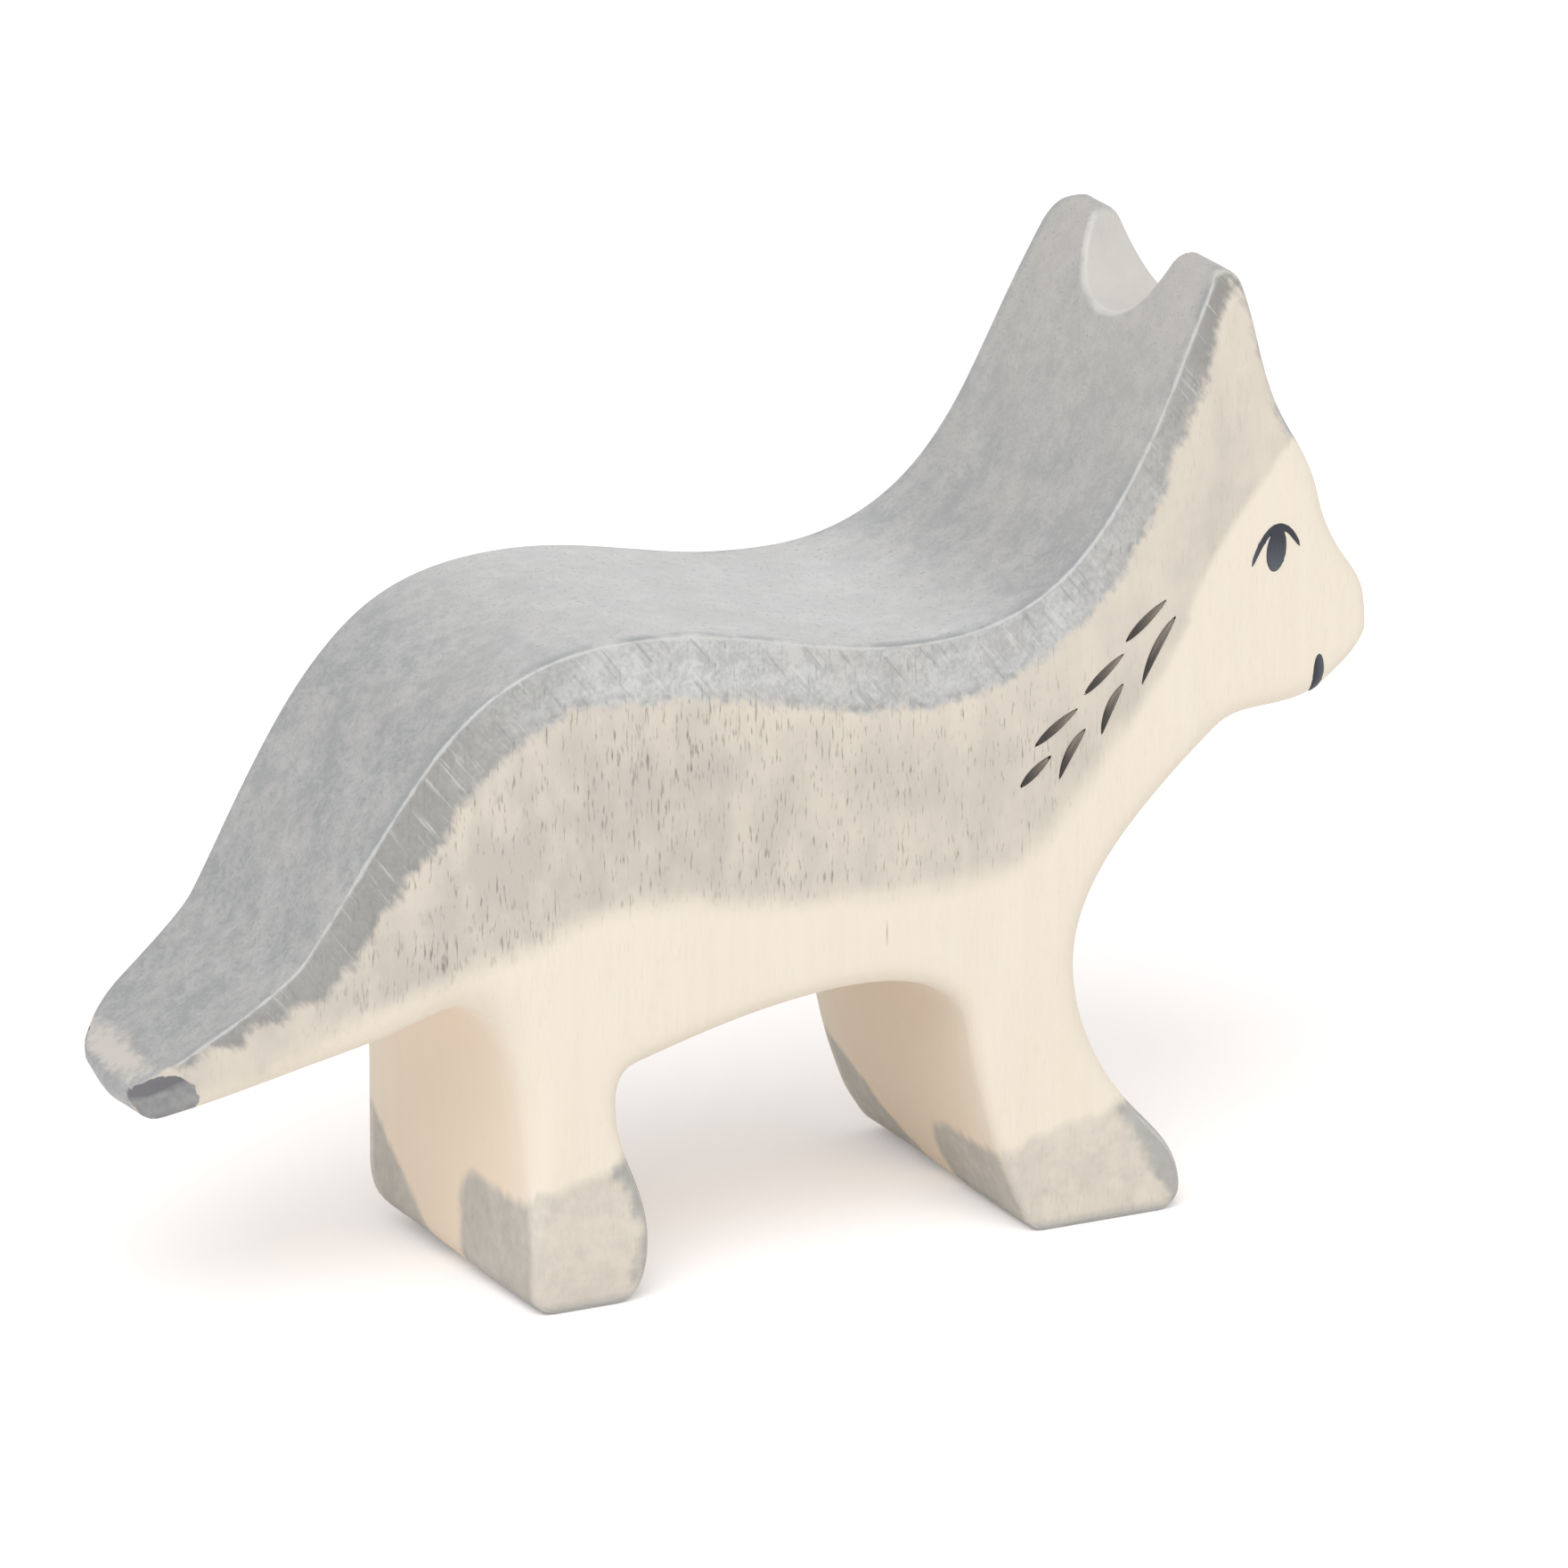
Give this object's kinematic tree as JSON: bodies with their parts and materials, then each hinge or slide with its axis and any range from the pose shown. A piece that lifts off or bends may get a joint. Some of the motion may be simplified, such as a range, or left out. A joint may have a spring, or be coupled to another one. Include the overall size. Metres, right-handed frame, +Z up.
{
  "type": "wolf figurine",
  "caption": "Free-standing wooden toy wolf, sawn in one piece from a plank, with a round groove between the ears and painted eye, mouth and fur marks.",
  "frame": {"origin": "middle of the overall length and of the plank's thickness, on the plane of the soles", "axes": "+X towards the nose, +Y to the wolf's left side, +Z up"},
  "size_m": [0.1096, 0.0304, 0.0795],
  "materials": {
    "wood": "sanded, with thin grey and beige washes soaked in",
    "slate_paint": "matt opaque paint film",
    "umber_paint": "matt brushed paint film"
  },
  "bodies": {
    "root": {"carved_body": "wood", "right_eye_mark": "slate_paint", "right_mouth_mark": "slate_paint", "right_fur_stroke_1": "umber_paint", "right_fur_stroke_2": "umber_paint", "right_fur_stroke_3": "umber_paint", "right_fur_stroke_4": "umber_paint", "right_fur_stroke_5": "umber_paint", "right_fur_stroke_6": "umber_paint", "right_fur_stroke_7": "umber_paint", "left_eye_mark": "slate_paint", "left_mouth_mark": "slate_paint", "left_fur_stroke_1": "umber_paint", "left_fur_stroke_2": "umber_paint", "left_fur_stroke_3": "umber_paint", "left_fur_stroke_4": "umber_paint", "left_fur_stroke_5": "umber_paint", "left_fur_stroke_6": "umber_paint", "left_fur_stroke_7": "umber_paint"}
  },
  "joints": []
}
